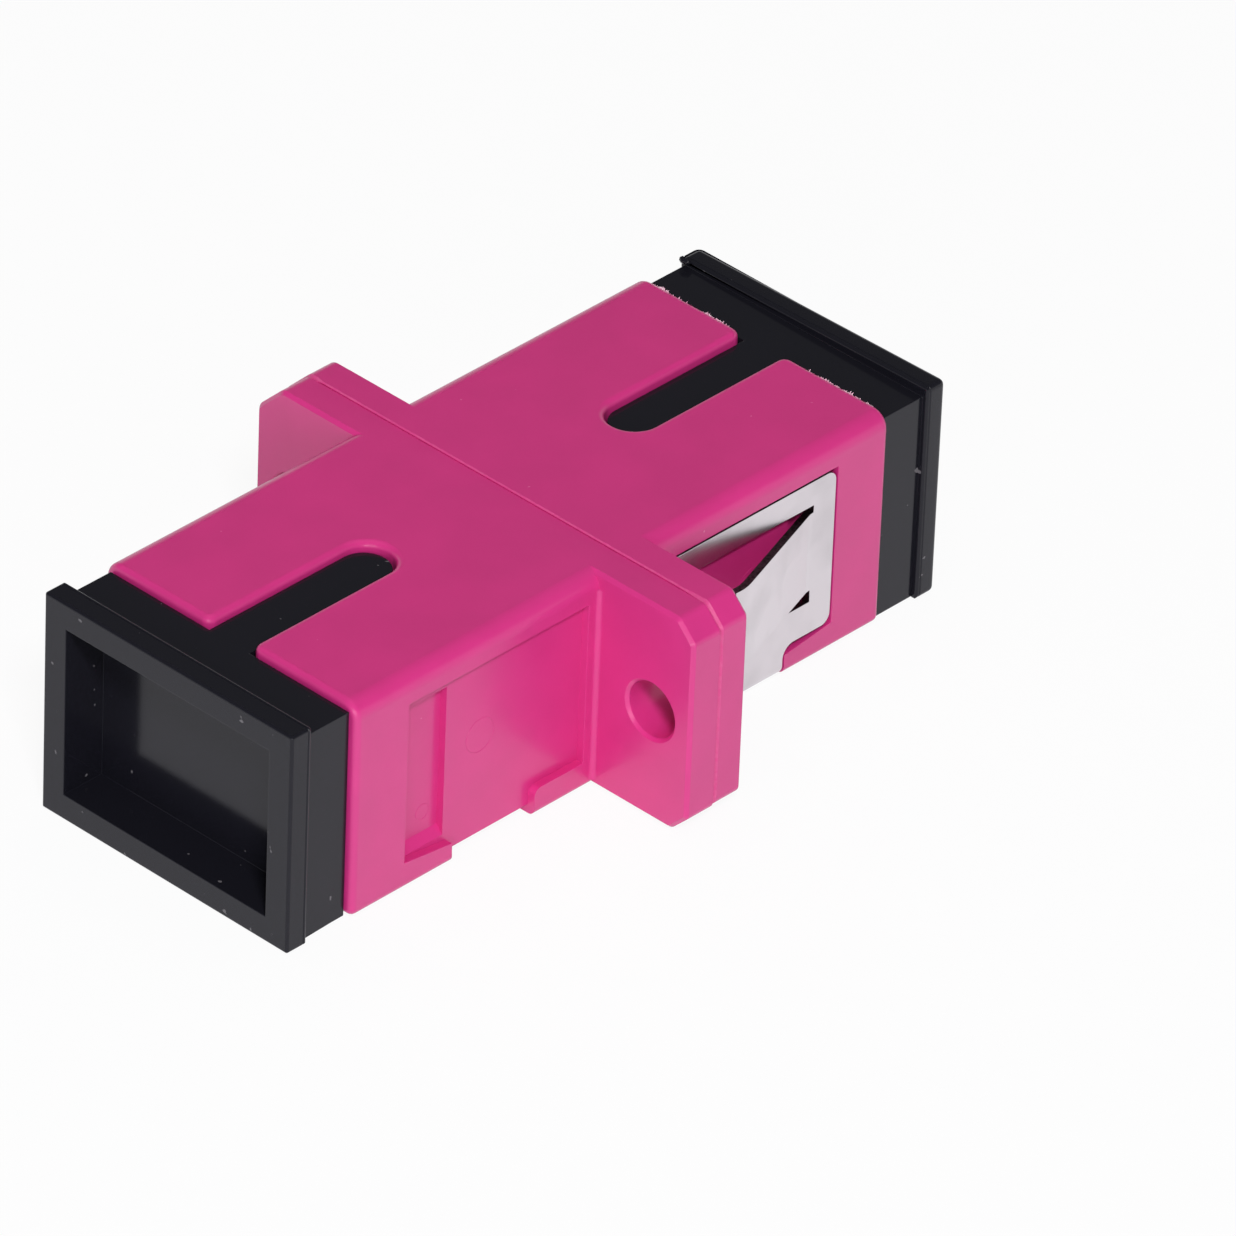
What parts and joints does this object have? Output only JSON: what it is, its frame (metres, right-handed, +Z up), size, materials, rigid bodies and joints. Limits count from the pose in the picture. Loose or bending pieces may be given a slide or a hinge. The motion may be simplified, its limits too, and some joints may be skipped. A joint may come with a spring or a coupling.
{
  "type": "sc fibre adapter",
  "caption": "Simplex push-pull fibre optic adapter with a screw flange, a spring panel clip, a split alignment sleeve and pull-off dust caps in its ports.",
  "frame": {"origin": "centre of the part on the fibre axis, in the weld face between the two halves", "axes": "+X across the flange, +Y along the fibre axis towards the port beside the panel clip, +Z up towards the key slots"},
  "size_m": [0.022, 0.0334, 0.0094],
  "materials": {
    "housing": "moulded, semi-gloss",
    "holder": "moulded, semi-gloss",
    "sleeve": "polished ceramic",
    "clip": "bright rolled spring steel",
    "cap": "moulded, satin"
  },
  "bodies": {
    "adapter": {"housing_front": "housing", "housing_rear": "housing", "sleeve_holder_front": "holder", "sleeve_holder_rear": "holder", "alignment_sleeve": "sleeve", "panel_clip": "clip"},
    "front_cap": {"dust_cap_front": "cap"},
    "rear_cap": {"dust_cap_rear": "cap"}
  },
  "joints": [
    {"name": "cap_front_pull", "type": "slide", "parent": "adapter", "child": "front_cap", "axis": [0, -1, 0], "range_m": [0, 0.012]},
    {"name": "cap_rear_pull", "type": "slide", "parent": "adapter", "child": "rear_cap", "axis": [0, 1, 0], "range_m": [0, 0.012]}
  ]
}
